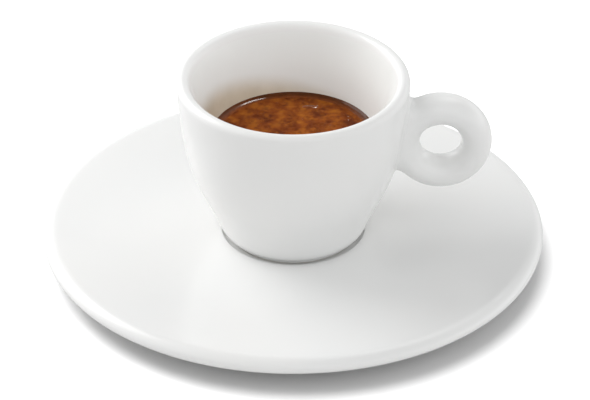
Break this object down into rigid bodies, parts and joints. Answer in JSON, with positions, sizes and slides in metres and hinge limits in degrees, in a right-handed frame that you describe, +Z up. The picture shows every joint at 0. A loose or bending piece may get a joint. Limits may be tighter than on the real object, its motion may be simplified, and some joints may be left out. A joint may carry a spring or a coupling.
{
  "type": "espresso shot",
  "caption": "Short espresso with brown crema in a thick-walled white porcelain cup with a ring handle, standing on a nearly flat round saucer with a rolled edge.",
  "frame": {"origin": "on the common axis of saucer and cup, at the table", "axes": "+Z up along the axis, +X towards the ring handle, +Y away from the picture's viewer"},
  "size_m": [0.131, 0.131, 0.0551],
  "materials": {
    "saucer_porcelain": "white gloss glaze",
    "cup_porcelain": "white gloss glaze",
    "espresso_crema": "wet brown foam with darker flecks"
  },
  "bodies": {
    "root": {"saucer": "saucer_porcelain", "cup": "cup_porcelain", "espresso": "espresso_crema"}
  },
  "joints": []
}
